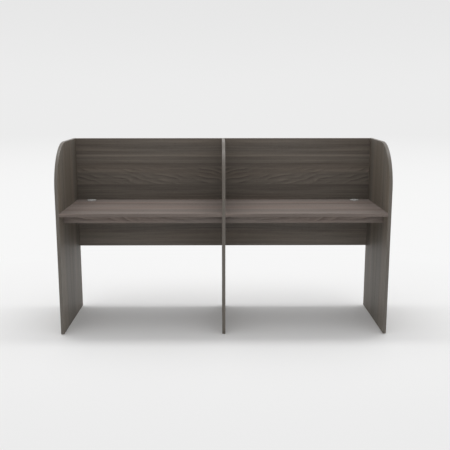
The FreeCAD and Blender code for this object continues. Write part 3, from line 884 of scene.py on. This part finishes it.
def capShells(size, low, high):
    # a plug, and a cushion whose rim is a superellipse: radius cos(t)^(2/n), height sin(t)^(2/n)
    radius = size["diameter"] / 2
    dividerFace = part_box("centre_divider")[1].x
    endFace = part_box("right_end_panel")[0].x
    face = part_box("left_back_panel")[1].y
    t = np.linspace(0, size["rimLast"], size["rimSteps"])
    power = 2 / size["squareness"]
    rim = [radius * np.cos(t) ** power, face + (high.y - face) * np.sin(t) ** power]
    plug = size["plugDiameter"] / 2
    profile = np.concatenate([[(plug, low.y), (plug, face)], np.stack(rim, axis=1)])
    a = fullTurn(size["around"])
    # the notch for a blade: a narrow bell in the angle, only on the rim, at the foot of each cap
    bell = np.exp(-((a - np.pi) / size["notchWidth"]) ** 2)
    onRim = profile[:, :1] > size["notchReach"] * radius
    notched = profile[:, :1] - size["pryNotch"] * bell * onRim
    shells = []
    for x in (dividerFace + size["setback"], endFace - size["setback"]):
        for z in (low.z + radius, (low.z + high.z) / 2, high.z - radius):
            for side in bays.values():
                shells.append(turnedShell(notched, profile[:, 1:], a, (side * x, 0, z), axis="Y"))
    return shells


caps = "back_panel_cam_caps"
makePiece("back_panel_cover_caps", capShells(capSize, *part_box(caps)),
          capPlastic, "desk", [caps])
print("cover caps on the rear face")


# Camera, floor and light

photoCamera = {
    "place": (-0.026, -4.288, 1.4595), "tilt": 79.05, "turn": -0.474, "lens": 54.52, "sensor": 36.0,
}
camera = bpy.data.cameras.new("camera")
camera.lens = photoCamera["lens"]
camera.sensor_width = photoCamera["sensor"]
cameraObject = bpy.data.objects.new("camera", camera)
cameraObject.location = photoCamera["place"]
tilt, turn = math.radians(photoCamera["tilt"]), math.radians(photoCamera["turn"])
cameraObject.rotation_euler = (tilt, 0, turn)
scene.collection.objects.link(cameraObject)
scene.camera = cameraObject

studio = {
    "floorSize": 400.0, "floorShade": 0.885,
    "fadeStart": 0.25, "fadeEnd": 1.7,      # where the paper runs into the backdrop, from the desk
    "glowShare": 0.10,                      # the backdrop's share close to the desk
    "seenNear": 0.84, "seenMiddle": 0.93, "middleReach": 1.6,
    "seenFar": 0.84, "horizonStart": 2.7, "horizonEnd": 22.0,
    "seenTop": 0.80, "topReach": 0.14,
    # levels of the dome in front and behind, and the height of its middle
    "domeLow": (0.85, 1.60), "domeMiddle": (0.0, 0.34), "domeHigh": (1.88, 0.96),
    "middleHeight": 0.5,
    "lampPlace": (0.0, 0.45, 4.8), "lampSize": (5.0, 0.75), "lampPower": 77.0,
}


def seenByEye(tree):
    # rays that should meet the backdrop as a picture: straight, mirrored or through glass
    path = addNode(tree, "LightPath").outputs
    seen = calc(tree, "MAXIMUM", path["Is Camera Ray"], path["Is Glossy Ray"])
    return calc(tree, "MAXIMUM", seen, path["Is Transmission Ray"])


def mixShaders(tree, share, first, second):
    inputs = {0: share, 1: first.outputs[0], 2: second.outputs[0]}
    return addNode(tree, "MixShader", inputs).outputs[0]


def makeFloor(look):
    # diffuse paper that takes the shadow, with the backdrop's own glow over it away from the desk
    half = look["floorSize"] / 2
    corners = [(-half, -half, 0), (half, -half, 0), (half, half, 0), (-half, half, 0)]
    mesh = bpy.data.meshes.new("floor")
    mesh.from_pydata(corners, [], [(0, 1, 2, 3)])
    material, tree, shader = startMaterial("floorPaper")
    tree.nodes.remove(shader)
    x, y = parts(tree, objectPlace(tree))[:2]

    def outside(value, reach):
        return calc(tree, "MAXIMUM", minus(tree, calc(tree, "ABSOLUTE", value), reach), 0.0)

    aside = outside(x, cadHigh.x)
    beyond = outside(y, cadHigh.y)
    squares = plus(tree, times(tree, aside, aside), times(tree, beyond, beyond))
    distance = calc(tree, "SQRT", squares)
    away = rise(tree, distance, look["fadeStart"], look["fadeEnd"])
    far = plus(tree, look["glowShare"], times(tree, away, 1 - look["glowShare"]))
    middle = rise(tree, y, -look["middleReach"], look["middleReach"])
    near = plus(tree, look["seenNear"], times(tree, middle, look["seenMiddle"] - look["seenNear"]))
    horizon = rise(tree, distance, look["horizonStart"], look["horizonEnd"])
    glow = plus(tree, near, times(tree, horizon, minus(tree, look["seenFar"], near)))
    paper = addNode(tree, "BsdfDiffuse", {"Color": (look["floorShade"],) * 3 + (1,)})
    backdrop = addNode(tree, "Emission", {"Color": grey(tree, glow)})
    both = mixShaders(tree, times(tree, far, seenByEye(tree)), paper, backdrop)
    feed(tree, tree.nodes["Material Output"].inputs["Surface"], both)
    mesh.materials.append(material)
    floor = bpy.data.objects.new("floor", mesh)
    scene.collection.objects.link(floor)


def makeSky(look):
    # three heights of the dome, each with its own level in front and behind, run into one another
    world = bpy.data.worlds.new("studio")
    world.use_nodes = True
    tree = world.node_tree
    light = tree.nodes["Background"]
    y, z = parts(tree, addNode(tree, "TexCoord").outputs["Generated"])[1:]
    behind = rise(tree, y, -1.0, 1.0)
    overLow = rise(tree, z, 0.0, look["middleHeight"])
    overMiddle = rise(tree, z, look["middleHeight"], 1.0)
    shares = {"domeLow": minus(tree, 1.0, overLow), "domeMiddle": minus(tree, overLow, overMiddle),
              "domeHigh": overMiddle}
    dome = 0.0
    for height, share in shares.items():
        front, rear = look[height]
        level = plus(tree, front, times(tree, behind, rear - front))
        dome = plus(tree, dome, times(tree, share, level))
    feed(tree, light.inputs["Color"], grey(tree, dome))
    above = rise(tree, z, 0.0, look["topReach"])
    glow = plus(tree, look["seenFar"], times(tree, above, look["seenTop"] - look["seenFar"]))
    backdrop = addNode(tree, "Background", {"Color": grey(tree, glow)})
    both = mixShaders(tree, seenByEye(tree), light, backdrop)
    feed(tree, tree.nodes["World Output"].inputs["Surface"], both)
    scene.world = world


def makeLamp(look):
    lamp = bpy.data.lights.new("softbox", "AREA")
    lamp.shape = "RECTANGLE"
    lamp.size, lamp.size_y = look["lampSize"]
    lamp.energy = look["lampPower"]
    lampObject = bpy.data.objects.new("softbox", lamp)
    lampObject.location = look["lampPlace"]
    scene.collection.objects.link(lampObject)


makeFloor(studio)
makeSky(studio)
makeLamp(studio)
scene.view_settings.view_transform = "Standard"
print("studio: camera, floor, dome and softbox")
